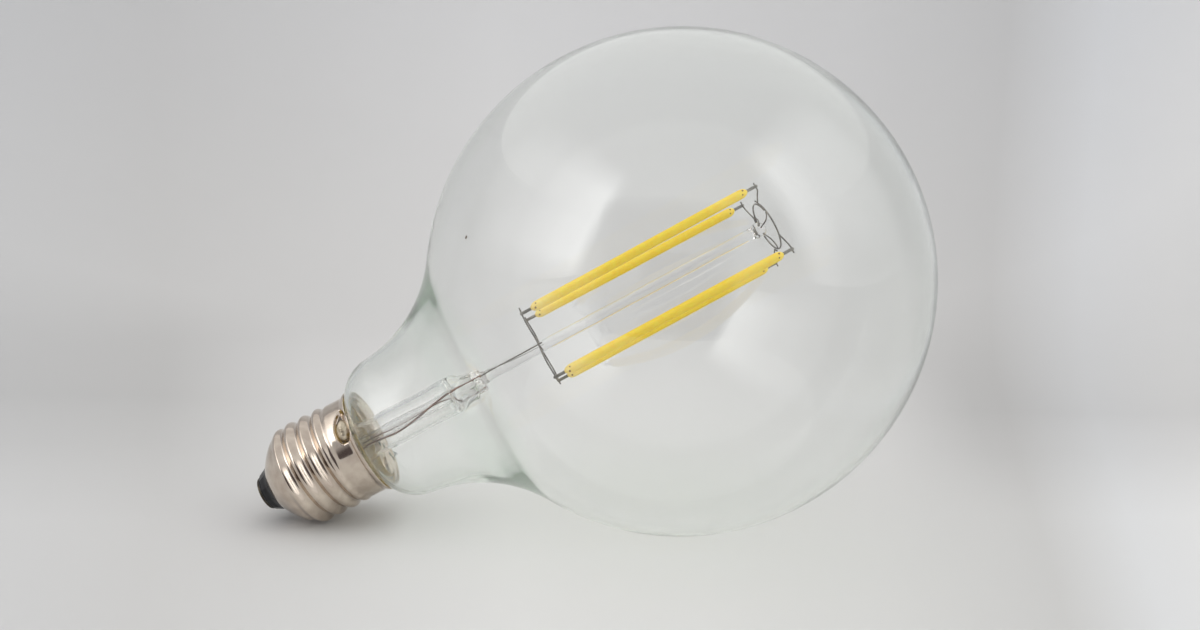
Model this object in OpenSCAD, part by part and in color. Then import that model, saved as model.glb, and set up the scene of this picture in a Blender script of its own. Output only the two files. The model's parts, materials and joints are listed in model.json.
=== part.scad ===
// Clear globe filament lamp with an E27 screw cap, dead, lying where it was put down.
//
// Every piece is drawn in the lamp's own frame: the globe's centre at the origin, +Z to the
// crown, -Z to the cap, +X the side that lies uppermost and +Y the side seen from the front.
// lie() then lays the lamp down until its globe and its screw cap both touch the floor.

/* [Globe] */
// Outside diameter of the globe
globe_d = 125; // [105:1:150]
// Glass wall round the globe's middle
globe_wall = 0.75; // [0.6:0.05:0.9]
// How much thicker the wall is at the crown, and thinner towards the neck
crown_gain = 0.25; // [0:0.05:0.3]
// Radius of the outside hollow where the globe runs into the neck
fillet_r = 35; // [28:1:40]
// Radius of the same hollow inside, smaller because the glass gathers there
fillet_in_r = 27; // [22:1:30]
// Diameter of the neck at the bottom of the hollow
waist_d = 36.7; // [35:0.1:40]
// Radius of the neck's shoulder above the cap
shoulder_r = 10.6; // [9.8:0.1:11.5]
// Glass wall of the neck
neck_wall = 0.95; // [0.8:0.05:1.1]
// From the globe's lowest point to the rim of the cap
rim_drop = 23.5; // [22:0.5:26]
// Length of neck hidden in the cap
neck_in_cap = 10.5; // [9:0.5:12]

/* [Screw cap] */
// Diameter over the thread's crests
crest_d = 26.05; // [25.8:0.05:26.5]
// Diameter at the thread's roots
root_d = 24.3; // [24:0.05:24.5]
// Thread pitch
pitch = 3.63; // [3.3:0.01:4]
// Thread crests along the cap
crests = 4; // [3:1:4]
// Thickness of the shell's sheet
shell_t = 0.3; // [0.2:0.05:0.4]
// Diameter of the smooth collar
collar_d = 25.3; // [25:0.1:25.8]
// Height of the smooth collar with its lip
collar_h = 5.7; // [5.2:0.1:8]
// Diameter of the flared lip at the rim
lip_d = 27; // [26.6:0.1:28]
// Height of the flared lip
lip_h = 1.6; // [1:0.1:2.4]
// Height of the tapered lower end of the shell
dome_h = 6.5; // [5:0.1:8]
// How far the tapered end bulges out of straight
dome_bulge = 0.5; // [0:0.1:1]
// Diameter of the hole in the shell's lower end
shell_hole_d = 13; // [12:0.1:14]
// Width of the notch in the rim where the side lead comes out
notch_w = 2; // [1.5:0.1:3]
// Depth of that notch below the rim
notch_h = 3; // [2:0.1:4]
// Radius of the ball of solder over the notch
side_solder_r = 2.7; // [2.4:0.1:3]

/* [Insulator and contact] */
// Diameter of the insulator's outer end
insulator_d = 9.6; // [9:0.1:10.5]
// How far the insulator stands out of the shell
insulator_h = 3; // [2.5:0.1:4]
// Diameter of the centre contact
contact_d = 8.4; // [7:0.1:9]
// Thickness of the centre contact
contact_t = 0.6; // [0.4:0.1:1]
// Height of the solder dome on the contact
contact_solder_h = 0.8; // [0.5:0.1:1.2]
// Diameter of the solder dome on the contact
contact_solder_d = 4.4; // [3.5:0.1:5]

/* [Stem] */
// Outside diameter of the stem's flare tube
flare_d = 9.4; // [9:0.1:10]
// Wall of the flare tube
flare_wall = 0.9; // [0.7:0.1:1.1]
// Bend radius of the flare where it opens out to the neck
flare_bend_r = 13; // [11:0.5:15]
// From the neck's end up to the top of the press
stem_h = 42.1; // [36:0.1:50]
// Height of the press where the glass is pinched flat
press_h = 6.1; // [5:0.1:8]
// Thickness of the press
press_t = 4.5; // [4:0.1:5]
// Outside diameter of the exhaust tube
exhaust_d = 3.4; // [3:0.1:3.6]
// Bore of the exhaust tube
exhaust_bore = 2; // [1.4:0.1:2.2]
// Diameter of the solid glass column
column_d = 3; // [2.5:0.1:3.5]
// Radius of the melted bead that ends the column
bead_r = 2.1; // [1.8:0.1:2.5]
// How far the mount leans from the globe's axis, in degrees
lean = 1.2; // [0:0.1:1.6]
// Which way it leans, in degrees from the uppermost side
lean_dir = -11; // [-180:1:180]
// Direction of the press's wide side, in degrees from the uppermost side
press_turn = 60; // [0:1:90]

/* [Filaments and wires] */
// Length of a filament's yellow body
filament_len = 61; // [50:0.5:72]
// Diameter of a filament's yellow body
filament_d = 2.4; // [2:0.1:2.8]
// Length of a filament's rounded end
filament_end = 2; // [1.5:0.1:3]
// Free length of the metal tab at each end of a filament
tab_free = 2.5; // [2:0.1:4]
// Width of the metal tab
tab_w = 0.8; // [0.6:0.05:1]
// Thickness of the metal tab
tab_t = 0.2; // [0.15:0.05:0.3]
// Half the distance between two filaments, to the wires that hold them
cage_half = 9; // [7:0.1:11]
// Turn of the filament square, in degrees from the uppermost side
cage_turn = -17.4; // [-45:0.1:45]
// From the press up to the crossbars
lead_h = 16.7; // [13:0.1:20]
// Diameter of the wires that carry the filaments
wire_d = 0.5; // [0.4:0.05:0.6]
// Radius of the support ring, to the middle of its wire
ring_r = 6.6; // [5:0.1:7]
// How far the ring's arms start round from their filaments, in degrees
arm_shift = 11; // [0:1:15]
// How far each wire runs past its weld
stub = 1; // [0.5:0.1:1.5]
// Distance of each lead from the middle of the press
lead_offset = 2.6; // [2.4:0.1:2.9]

/* [Driver] */
// Thickness of the driver board
board_t = 1; // [0.8:0.1:1.6]
// Gap between the end of the neck and the board
board_gap = 2.5; // [2:0.1:3]
// Diameter of the smoothing capacitor
capacitor_d = 6.3; // [5:0.1:6.3]
// Height of the smoothing capacitor
capacitor_h = 6; // [5:0.1:6.5]
// Diameter of the fusible resistor
resistor_d = 2.6; // [2:0.1:3]
// Length of the fusible resistor's body
resistor_h = 5; // [4:0.1:6]
// Diameter of the thin hook-up wires
hookup_d = 0.4; // [0.3:0.05:0.4]

/* [Hidden] */
$fn = 96;
globe_r = globe_d / 2;
// An extra length that takes a cut clean through a face.
over = 1;
// The smallest running clearance, where nothing is cemented or fused.
clearance = 0.1;
// How far two shapes of one piece run into each other, so that they join.
bite = 0.3;

// Heights along the lamp's axis.
rim_z = -(globe_r + rim_drop);
neck_end_z = rim_z - neck_in_cap;
shell_end_z = rim_z - collar_h - (crests - 0.5) * pitch - dome_h;
insulator_z = shell_end_z - insulator_h;
contact_z = insulator_z - contact_t;
tip_z = contact_z - contact_solder_h;
board_z = neck_end_z - board_gap - board_t;
press_z = neck_end_z + stem_h;
press_foot_z = press_z - press_h;
flare_z = neck_end_z + flare_bend_r - 0.5;
tie_low_z = press_z + lead_h;
body_low_z = tie_low_z + tab_free;
body_high_z = body_low_z + filament_len;
tie_high_z = body_high_z + tab_free;

// Radii.
crest_r = crest_d / 2;
root_r = root_d / 2;
collar_r = collar_d / 2;
lip_r = lip_d / 2;
root_in_r = root_r - shell_t;
neck_r = root_in_r - hookup_d - 0.05;
neck_in_r = neck_r - neck_wall;
flare_r = flare_d / 2;
wire_r = wire_d / 2;
hookup_r = hookup_d / 2;

// The globe's two spheres, and the hollows tangent to them.
inner_r = globe_r - globe_wall;
inner_z = -crown_gain;
fillet_c = [fillet_r + waist_d / 2, -sqrt(pow(globe_r + fillet_r, 2) - pow(fillet_r + waist_d / 2, 2))];
waist_in_r = waist_d / 2 - neck_wall;
fillet_in_c = [
    fillet_in_r + waist_in_r,
    inner_z - sqrt(pow(inner_r + fillet_in_r, 2) - pow(fillet_in_r + waist_in_r, 2))
];

// The shoulder is tangent to the hollow, with its centre this far above the rim.
shoulder_z = rim_z + shoulder_r - 1.2;
shoulder_in_r = shoulder_r - neck_wall;
function shoulder_c(hollow, hollow_r, r) = [
    hollow[0] - sqrt(pow(hollow_r + r, 2) - pow(shoulder_z - hollow[1], 2)),
    shoulder_z
];
shoulder_out_c = shoulder_c(fillet_c, fillet_r, shoulder_r);
shoulder_in_c = shoulder_c(fillet_in_c, fillet_in_r, shoulder_in_r);

// Points on an arc in the [r, z] plane, from angle a to angle b in n steps.
function arc(c, r, a, b, n) = [for (i = [0:n]) c + r * [cos(a + (b - a) * i / n), sin(a + (b - a) * i / n)]];
function angle_of(from, to) = atan2(to[1] - from[1], to[0] - from[0]);
function reversed(list) = [for (i = [len(list) - 1:-1:0]) list[i]];
function polar(r, a) = [r * cos(a), r * sin(a)];
function polar3(a) = [cos(a), sin(a), 0];
function unit(v) = v / norm(v);

// Cuts the corners off a route, twice, so that a wire bends smoothly and never overshoots.
wire_sides = 8;
function cut_corners(route) = concat(
    [route[0]],
    [for (i = [0:len(route) - 2]) each [
        0.75 * route[i] + 0.25 * route[i + 1],
        0.25 * route[i] + 0.75 * route[i + 1]
    ]],
    [route[len(route) - 1]]
);
function smooth(route) = cut_corners(cut_corners(route));

// One side of the glass, from the crown down to where the neck turns into a plain tube.
function glass_side(sphere_z, r, hollow, hollow_r, shoulder, bend_r, tube_r) =
    let (
        centre = [0, sphere_z],
        to_hollow = angle_of(centre, hollow),
        to_shoulder = angle_of(shoulder, hollow),
        to_tube = -acos((tube_r - shoulder[0]) / bend_r)
    )
    concat(
        arc(centre, r, 90, to_hollow, 48),
        arc(hollow, hollow_r, to_hollow + 180, to_shoulder + 180, 14),
        arc(shoulder, bend_r, to_shoulder, to_tube, 14)
    );

// Outside radius of the shell at a place along its thread, 0 at the top root.
function thread_r(z) = (crest_r + root_r) / 2 - (crest_r - root_r) / 2 * cos(360 * z / pitch);
thread_steps = 8;
thread_len = (crests - 0.5) * pitch;
thread_top_z = rim_z - collar_h;

// A place on the shell's lower end, 0 at the hole and 1 at the last crest, d inside its outside.
function dome(t, d) =
    let (
        low = [shell_hole_d / 2, shell_end_z + 1.4 * d],
        high = [crest_r - d, shell_end_z + dome_h],
        out = unit([high[1] - low[1], low[0] - high[0]])
    )
    low + (high - low) * t + dome_bulge * sin(180 * t) * out;

// The shell's side from the lip to the hole in its lower end, d inside its outside.
function shell_side(d) = concat(
    [[lip_r - d, rim_z]],
    [[collar_r - d + 0.15, rim_z - 0.6 * lip_h], [collar_r - d, rim_z - lip_h]],
    [[collar_r - d, thread_top_z + pitch / 4]],
    [for (i = [0:thread_steps * (crests - 0.5) - 1]) [
        thread_r(i * pitch / thread_steps) - d,
        thread_top_z - i * pitch / thread_steps
    ]],
    [for (i = [8:-1:0]) dome(i / 8, d)]
);
shell_outline = shell_side(0);
insulator_outline = [
    [shell_hole_d / 2, shell_end_z],
    [insulator_d / 2, insulator_z + 0.6],
    [insulator_d / 2 - 0.4, insulator_z]
];
cap_outline = concat(shell_outline, insulator_outline, [[contact_d / 2, contact_z], [0, tip_z]]);

// The lamp lies on its globe and on the first point of its cap to reach the floor.
lie_angle = min([for (p = shell_outline) asin(globe_r / norm(p)) - atan2(p[0], -p[1])]);
lie_low_x = min([for (p = cap_outline) p[1] * cos(lie_angle) - p[0] * sin(lie_angle)]);
lie_x = -(globe_r + lie_low_x) / 2;

// Where the side lead and its solder are, in degrees from the uppermost side.
solder_turn = 52;
solder_z = rim_z - 1.6;
// The solder in the notch stops this far below the rim, under the glass of the shoulder.
solder_below = 0.9;

// The wires' routes: points of a bent wire, in the frame of what carries them.
// A wire runs straight for at least this far where it meets another piece end to end.
straight = 0.8;
lead_foot = polar(lead_offset, press_turn);
function outer_route(side) = [
    [-2, side * 5.5, board_z + board_t],
    [-2, side * 5.5, board_z + board_t + straight],
    [-1.6, side * 4, neck_end_z + 3],
    concat(polar(lead_offset, side * 100), neck_end_z + 10),
    concat(polar(lead_offset, side * 125), press_foot_z - 17),
    concat(polar(lead_offset, side > 0 ? 75 : -100), press_foot_z - 7),
    concat(side * lead_foot, press_foot_z - 2 - 2 * straight),
    concat(side * lead_foot, press_foot_z - 2)
];
function in_cage(p) = [
    p[0] * cos(cage_turn) - p[1] * sin(cage_turn),
    p[0] * sin(cage_turn) + p[1] * cos(cage_turn)
];
function inner_route(side) = [
    concat(side * lead_foot, press_z),
    concat(side * lead_foot, press_z + 1.5),
    concat(in_cage([0, side * (cage_half - wire_d)]), tie_low_z - stub),
    concat(in_cage([0, side * (cage_half - wire_d)]), tie_low_z + stub)
];
function tie(i) = cage_half * [i == 0 || i == 3 ? 1 : -1, i < 2 ? 1 : -1];
function arm_route(i) =
    let (
        t = tie(i),
        start = polar(ring_r + wire_d, 45 + 90 * i - arm_shift),
        bend = [t[0] - sign(t[0]), t[1]]
    )
    [
        concat(start, tie_high_z),
        concat(0.52 * (start + bend), tie_high_z),
        concat(bend, tie_high_z),
        concat([t[0] + sign(t[0]) * stub, t[1]], tie_high_z)
    ];
bead_z = tie_high_z - 2.4;
function anchor_route(a) = [
    concat(polar(ring_r - wire_d, a), tie_high_z),
    concat(polar(ring_r * 0.55, a + 6), tie_high_z - 0.3),
    concat(polar(bead_r * 0.4, a + 12), bead_z + 0.6)
];
side_lead_r = root_in_r - hookup_r;

// ---- placing ----

// Lays the lamp down, with the middle of its box over the origin.
module lie() {
    translate([lie_x, 0, globe_r])
        rotate([0, 90 - lie_angle, 0])
            rotate([0, 0, 180])
                children();
}

// Leans the stem and all that it carries, about the middle of its seal with the neck.
module leaning() {
    translate([0, 0, neck_end_z])
        rotate([0, 0, lean_dir])
            rotate([0, lean, 0])
                rotate([0, 0, -lean_dir])
                    translate([0, 0, -neck_end_z])
                        children();
}

// The square of filaments, seen along the axis.
module caged() {
    rotate([0, 0, cage_turn])
        children();
}

// A straight piece of round wire.
module rod(from, to, r) {
    d = to - from;
    translate(from)
        rotate([0, acos(d[2] / norm(d)), atan2(d[1], d[0])])
            cylinder(r = r, h = norm(d));
}

// A wire bent smoothly through its route's points, with a ring of points square to each step.
// side_ref is any direction that the wire never runs along.
module wire(route, r, side_ref) {
    line = smooth(route);
    last = len(line) - 1;
    rings = [for (i = [0:last])
        let (
            along = unit(line[min(i + 1, last)] - line[max(i - 1, 0)]),
            u = unit(cross(along, side_ref)),
            v = cross(along, u)
        )
        for (j = [0:wire_sides - 1])
            line[i] + r * (u * cos(360 * j / wire_sides) + v * sin(360 * j / wire_sides))
    ];
    walls = [for (i = [0:last - 1], j = [0:wire_sides - 1])
        let (k = (j + 1) % wire_sides, a = i * wire_sides)
        each [[a + j, a + wire_sides + j, a + k], [a + k, a + wire_sides + j, a + wire_sides + k]]
    ];
    foot = [for (j = [0:wire_sides - 1]) j];
    head = [for (j = [wire_sides - 1:-1:0]) last * wire_sides + j];
    polyhedron(points = rings, faces = concat(walls, [foot, head]));
}

module tube(r, bore_r, h) {
    difference() {
        cylinder(r = r, h = h);
        translate([0, 0, -over])
            cylinder(r = bore_r, h = h + 2 * over);
    }
}

// ---- glass ----

module glass_envelope() {
    outside = glass_side(0, globe_r, fillet_c, fillet_r, shoulder_out_c, shoulder_r, neck_r);
    inside = glass_side(
        inner_z, inner_r, fillet_in_c, fillet_in_r, shoulder_in_c, shoulder_in_r, neck_in_r
    );
    lie()
        color([0.8, 0.88, 0.85, 0.35])
            rotate_extrude()
                polygon(concat(
                    outside,
                    [[neck_r, neck_end_z], [neck_in_r, neck_end_z]],
                    reversed(inside)
                ));
}

// The flare tube opens out to the neck below and is pinched flat round the wires above.
module flare_body() {
    bend_c = [flare_r + flare_bend_r, flare_z];
    bore_r = flare_r - flare_wall;
    reach = neck_in_r + flare_wall;
    outside = arc(bend_c, flare_bend_r, 180, 180 + acos((bend_c[0] - reach) / flare_bend_r), 10);
    in_bend_r = flare_bend_r + flare_wall;
    inside = arc(bend_c, in_bend_r, 180, 180 + acos((bend_c[0] - reach) / in_bend_r), 10);
    rotate_extrude()
        polygon(concat(
            [[0, press_foot_z], [flare_r - 1.4, press_foot_z], [flare_r, press_foot_z - 1.6]],
            outside,
            reversed(inside),
            [[bore_r, press_foot_z - 2.6], [bore_r - 1, press_foot_z - 1.6], [0, press_foot_z - 1.6]]
        ));
    intersection() {
        translate([0, 0, press_foot_z - 1.6])
            cylinder(r = flare_r, h = press_h + 1.6);
        rotate([0, 0, press_turn])
            translate([-flare_r - over, -press_t / 2, press_foot_z - 1.6])
                cube([flare_d + 2 * over, press_t, press_h + 1.6]);
    }
}

module press_wires(extra) {
    for (side = [-1, 1])
        rod(
            concat(side * lead_foot, press_foot_z - 2 - extra),
            concat(side * lead_foot, press_z + extra),
            wire_r
        );
}

module stem_flare() {
    lie()
        color([0.85, 0.86, 0.82, 0.5])
            intersection() {
                leaning()
                    difference() {
                        flare_body();
                        press_wires(over);
                    }
                translate([0, 0, neck_end_z])
                    cylinder(r = neck_in_r, h = stem_h + 2 * over);
            }
}

// Open at the press, and melted shut at its lower tip.
module exhaust_tube() {
    tip = neck_end_z + 1.5;
    top = press_foot_z - 1.6;
    lie()
        leaning()
            color([0.85, 0.88, 0.86, 0.5])
                rotate_extrude()
                    polygon(concat(
                        [[exhaust_bore / 2, top], [exhaust_d / 2, top], [exhaust_d / 2, tip]],
                        [for (a = [15:15:90]) [exhaust_d / 2 * cos(a), tip - exhaust_d / 2 * sin(a)]],
                        [[0, tip], [exhaust_bore / 2, tip + 1]]
                    ));
}

module glass_column() {
    lie()
        leaning()
            color([0.85, 0.88, 0.86, 0.5])
                difference() {
                    union() {
                        translate([0, 0, press_z])
                            cylinder(d = column_d, h = bead_z - press_z);
                        translate([0, 0, bead_z])
                            sphere(r = bead_r);
                    }
                    anchors();
                }
}

// ---- cap ----

// All that bounds the side solder: the collar, its lip and the space above the rim.
module round_solder() {
    reach = lip_r + side_solder_r;
    rotate_extrude()
        polygon(concat(
            [[0, rim_z + reach], [reach, rim_z + reach], [reach, rim_z]],
            [for (i = [0:2]) shell_outline[i]],
            [[collar_r, rim_z - reach], [0, rim_z - reach]]
        ));
}

module rim_notch(from_r, to_r) {
    rotate([0, 0, solder_turn])
        translate([from_r, -notch_w / 2, rim_z - notch_h])
            cube([to_r - from_r, notch_w, notch_h + over]);
}

module screw_shell() {
    lie()
        color([0.78, 0.74, 0.7])
            difference() {
                rotate_extrude()
                    polygon(concat(shell_outline, reversed(shell_side(shell_t))));
                rim_notch(collar_r - 3 * shell_t, lip_r + over);
            }
}

// Black glass: a cone outside the shell, a plug inside it and a hole up the middle.
module insulator() {
    seat = [for (i = [2:-1:0]) dome(i / 8, shell_t)];
    plug_top_z = seat[0][1] + 1;
    lie()
        color([0.07, 0.07, 0.08])
            rotate_extrude()
                polygon(concat(
                    seat,
                    insulator_outline,
                    [
                        [hookup_d, insulator_z],
                        [hookup_d, plug_top_z],
                        [seat[0][0], plug_top_z]
                    ]
                ));
}

module centre_contact() {
    lie()
        color([0.75, 0.66, 0.45])
            translate([0, 0, contact_z])
                tube(contact_d / 2, hookup_d, contact_t);
}

// A flattened dome on the contact, down its hole and round the wire.
module centre_solder() {
    r = contact_solder_d / 2;
    lie()
        color([0.7, 0.71, 0.72])
            difference() {
                rotate_extrude()
                    polygon([
                        [0, insulator_z],
                        [hookup_d, insulator_z],
                        [hookup_d, contact_z],
                        [r, contact_z],
                        [r - 0.2, contact_z - 0.4 * contact_solder_h],
                        [r - 0.8, contact_z - 0.85 * contact_solder_h],
                        [r - 1.4, tip_z],
                        [0, tip_z]
                    ]);
                translate([0, 0, contact_z])
                    cylinder(r = hookup_r, h = contact_t + over);
            }
}

module side_solder() {
    lie()
        color([0.72, 0.7, 0.66])
            union() {
                difference() {
                    rotate([0, 0, solder_turn])
                        translate([collar_r - 0.58 * side_solder_r, 0, solder_z])
                            sphere(r = side_solder_r);
                    round_solder();
                }
                intersection() {
                    rim_notch(collar_r - 3 * shell_t, lip_r);
                    translate([0, 0, rim_z - notch_h])
                        tube(collar_r + bite, collar_r - shell_t, notch_h - solder_below);
                }
            }
}

// Fills the gap between neck and shell, and shows through the glass.
module basing_cement() {
    lie()
        color([0.59, 0.55, 0.36])
            difference() {
                rotate_extrude()
                    polygon([
                        [neck_r, neck_end_z],
                        [root_in_r, neck_end_z],
                        [root_in_r, thread_top_z + 0.3],
                        [collar_r - shell_t, thread_top_z + pitch / 4],
                        [collar_r - shell_t, rim_z - lip_h],
                        [neck_r, rim_z - 0.9]
                    ]);
                rotate([0, 0, solder_turn])
                    translate([neck_r - over, -hookup_r, neck_end_z - over])
                        cube([lip_r - neck_r, hookup_d, neck_in_cap + 2 * over]);
            }
}

// Runs up between the neck and the shell, to the notch in the rim.
module side_lead() {
    lie()
        color([0.7, 0.45, 0.3])
            rotate([0, 0, solder_turn])
                rod([side_lead_r, 0, board_z + board_t], [side_lead_r, 0, solder_z - 0.6], hookup_r);
}

// ---- driver ----

module driver_board() {
    lie()
        color([0.85, 0.84, 0.78])
            translate([0, 0, board_z])
                tube(root_in_r - clearance, hookup_r, board_t);
}

module smoothing_capacitor() {
    lie()
        color([0.12, 0.13, 0.2])
            translate([capacitor_d / 2 + resistor_d / 2 + 0.8, 0, board_z - capacitor_h])
                union() {
                    cylinder(d = capacitor_d - 0.6, h = capacitor_h);
                    translate([0, 0, 0.4])
                        cylinder(d = capacitor_d, h = capacitor_h - 1.6);
                    translate([0, 0, capacitor_h - 0.7])
                        cylinder(d = capacitor_d, h = 0.7);
                }
}

module chip(size) {
    translate([-size[0] / 2, -size[1] / 2, 0.1])
        cube(size);
    for (x = [-1, 1], y = [-1, 1])
        translate([x * (size[0] / 2 + 0.3) - 0.4, y * size[1] / 4 - 0.25, 0])
            cube([0.8, 0.5, 0.5]);
}

module bridge_rectifier() {
    lie()
        color([0.1, 0.1, 0.1])
            translate([6, 0, board_z + board_t])
                rotate([0, 0, 90])
                    chip([4.7, 3.9, 1.5]);
}

module driver_chip() {
    lie()
        color([0.08, 0.08, 0.09])
            translate([-6.4, 0, board_z + board_t])
                rotate([0, 0, 90])
                    chip([5, 3.9, 1.4]);
}

// Stands on the board's hole, with its lower lead soldered in the centre contact.
module fusible_resistor() {
    body_z = board_z - 0.8 - resistor_h;
    lie()
        color([0.45, 0.62, 0.52])
            union() {
                rotate_extrude()
                    polygon([
                        [0, body_z],
                        [resistor_d / 2 - 0.4, body_z],
                        [resistor_d / 2, body_z + 0.6],
                        [resistor_d / 2, body_z + resistor_h - 0.6],
                        [resistor_d / 2 - 0.4, body_z + resistor_h],
                        [0, body_z + resistor_h]
                    ]);
                translate([0, 0, contact_z])
                    cylinder(r = hookup_r, h = board_z + board_t - contact_z);
            }
}

// ---- wires ----

module outer_lead(side) {
    lie()
        leaning()
            color([0.55, 0.42, 0.36])
                wire(outer_route(side), wire_r, [1, 0, 0]);
}

module press_wire(side) {
    lie()
        leaning()
            color([0.62, 0.3, 0.26])
                rod(
                    concat(side * lead_foot, press_foot_z - 2),
                    concat(side * lead_foot, press_z),
                    wire_r
                );
}

module inner_lead(side) {
    lie()
        leaning()
            color([0.42, 0.4, 0.38])
                wire(inner_route(side), wire_r, [1, 0, 0]);
}

module crossbar(side) {
    lie()
        leaning()
            caged()
                color([0.42, 0.4, 0.38])
                    rod(
                        [-cage_half - stub, side * cage_half, tie_low_z],
                        [cage_half + stub, side * cage_half, tie_low_z],
                        wire_r
                    );
}

module support_ring() {
    lie()
        leaning()
            color([0.42, 0.4, 0.38])
                translate([0, 0, tie_high_z])
                    rotate_extrude()
                        translate([ring_r, 0])
                            circle(r = wire_r);
}

module ring_arm(i) {
    lie()
        leaning()
            caged()
                color([0.42, 0.4, 0.38])
                    wire(arm_route(i), wire_r, [0, 0, 1]);
}

module anchors() {
    for (a = [49:120:289])
        wire(anchor_route(a), wire_r * 0.8, polar3(a + 90));
}

module ring_anchors() {
    lie()
        leaning()
            color([0.42, 0.4, 0.38])
                anchors();
}

// ---- filaments ----

// Puts a filament's axis beside the wires it is welded to.
module at_filament(i) {
    t = tie(i);
    leaning()
        caged()
            translate([t[0], t[1] + sign(t[1]) * (wire_r + tab_t / 2), 0])
                children();
}

strip_w = 1;
strip_t = 0.4;
tab_in = 1.5;

module strip() {
    translate([-strip_w / 2, -strip_t / 2, body_low_z + tab_in])
        cube([strip_w, strip_t, filament_len - 2 * tab_in]);
}

module lower_tab_shape() {
    translate([-tab_w / 2, -tab_t / 2, tie_low_z - stub / 2])
        cube([tab_w, tab_t, tab_free + tab_in + stub / 2]);
}

module upper_tab_shape() {
    translate([-tab_w / 2, -tab_t / 2, body_high_z - tab_in])
        cube([tab_w, tab_t, tab_free + tab_in + stub / 2]);
}

// The yellow phosphor coat over the strip of chips.
module filament_coat(i) {
    r = filament_d / 2;
    end = [for (a = [0:15:75]) [r * cos(a), filament_end * sin(a)]];
    lie()
        at_filament(i)
            color([0.95, 0.8, 0.22])
                difference() {
                    rotate_extrude()
                        polygon(concat(
                            [[0, body_low_z]],
                            reversed([for (p = end) [p[0], body_low_z + filament_end - p[1]]]),
                            [for (p = end) [p[0], body_high_z - filament_end + p[1]]],
                            [[0, body_high_z]]
                        ));
                    strip();
                    lower_tab_shape();
                    upper_tab_shape();
                }
}

module filament_strip(i) {
    lie()
        at_filament(i)
            color([0.8, 0.8, 0.75])
                strip();
}

module lower_tab(i) {
    lie()
        at_filament(i)
            color([0.6, 0.6, 0.6])
                lower_tab_shape();
}

module upper_tab(i) {
    lie()
        at_filament(i)
            color([0.6, 0.6, 0.6])
                upper_tab_shape();
}

// ---- the lamp ----

glass_envelope();
screw_shell();
insulator();
centre_contact();
centre_solder();
side_solder();
basing_cement();
side_lead();
driver_board();
smoothing_capacitor();
bridge_rectifier();
driver_chip();
fusible_resistor();
stem_flare();
exhaust_tube();
glass_column();
outer_lead(1);  // outer_lead_near
outer_lead(-1);  // outer_lead_far
press_wire(1);  // press_wire_near
press_wire(-1);  // press_wire_far
inner_lead(1);  // inner_lead_near
inner_lead(-1);  // inner_lead_far
crossbar(1);  // crossbar_near
crossbar(-1);  // crossbar_far
for (i = [0:3]) {
    filament_coat(i);
    filament_strip(i);
    lower_tab(i);
    upper_tab(i);
    ring_arm(i);
}
support_ring();
ring_anchors();
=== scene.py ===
import json
import math

import bmesh
import bpy
from mathutils import Matrix, Vector, noise


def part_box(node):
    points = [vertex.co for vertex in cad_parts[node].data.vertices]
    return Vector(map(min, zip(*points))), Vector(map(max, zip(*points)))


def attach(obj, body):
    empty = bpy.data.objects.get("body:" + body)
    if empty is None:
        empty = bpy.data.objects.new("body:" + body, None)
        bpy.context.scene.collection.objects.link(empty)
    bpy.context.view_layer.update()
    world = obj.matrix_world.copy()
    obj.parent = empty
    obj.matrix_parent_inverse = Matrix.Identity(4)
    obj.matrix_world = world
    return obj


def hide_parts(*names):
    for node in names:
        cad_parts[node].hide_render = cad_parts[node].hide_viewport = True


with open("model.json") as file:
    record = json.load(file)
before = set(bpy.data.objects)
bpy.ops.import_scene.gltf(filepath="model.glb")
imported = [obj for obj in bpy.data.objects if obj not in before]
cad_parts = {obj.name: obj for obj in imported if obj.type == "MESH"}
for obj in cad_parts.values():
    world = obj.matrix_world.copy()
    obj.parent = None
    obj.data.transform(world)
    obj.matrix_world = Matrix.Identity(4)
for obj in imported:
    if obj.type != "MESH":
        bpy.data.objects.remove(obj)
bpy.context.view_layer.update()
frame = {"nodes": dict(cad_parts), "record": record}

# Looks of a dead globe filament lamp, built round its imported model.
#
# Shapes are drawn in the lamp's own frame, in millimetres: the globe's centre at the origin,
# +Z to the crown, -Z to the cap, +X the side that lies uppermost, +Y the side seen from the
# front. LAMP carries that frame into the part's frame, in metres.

MM = 0.001
TAU = 2 * math.pi

# ---- sizes of the lamp ----

GLOBE_WALL = 0.75
CROWN_GAIN = 0.25
FILLET_R, FILLET_IN_R = 35.0, 31.6
WAIST_R = 18.35
SHOULDER_R = 10.6
NECK_R = 11.4
NECK_WALL = 0.95
RIM_DROP = 23.5
NECK_IN_CAP = 10.5
# A speck stuck on the globe, and how far above the rim the gather of glass begins and ends.
SPECK_TURN, SPECK_Z = 42, -40.3
GATHER_FROM, GATHER_TO = 22, 32

CREST_R, ROOT_R, PITCH, CRESTS = 13.025, 12.15, 3.63, 4
THREAD_DEPTH = CREST_R - ROOT_R + 0.1
SHELL_T = 0.3
COLLAR_R, COLLAR_H = 12.65, 5.7
LIP_R, LIP_H, LIP_EDGE = 13.5, 1.6, 0.3
CEMENT_GAP = 0.02
DOME_H, DOME_BULGE = 6.5, 0.5
SHELL_HOLE_R = 6.5
SOLDER_TURN = 52.0
SOLDER_HALF_L, SOLDER_HALF_W, SOLDER_H = 3.0, 1.7, 1.35
SOLDER_DROP, SOLDER_SINK, SOLDER_TILT = 1.95, 0.72, 0.1
RECESS_L, RECESS_HALF_W, RECESS_DEPTH = 9.2, 2.2, 0.75
RECESS_DROP, RECESS_AHEAD = 1.9, 3.9
THREAD_START = math.radians(SOLDER_TURN + 30)

INSULATOR_R, INSULATOR_H = 4.8, 3.0
CONTACT_R, CONTACT_T = 4.2, 0.6
CONTACT_SOLDER_H = 0.8

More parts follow.
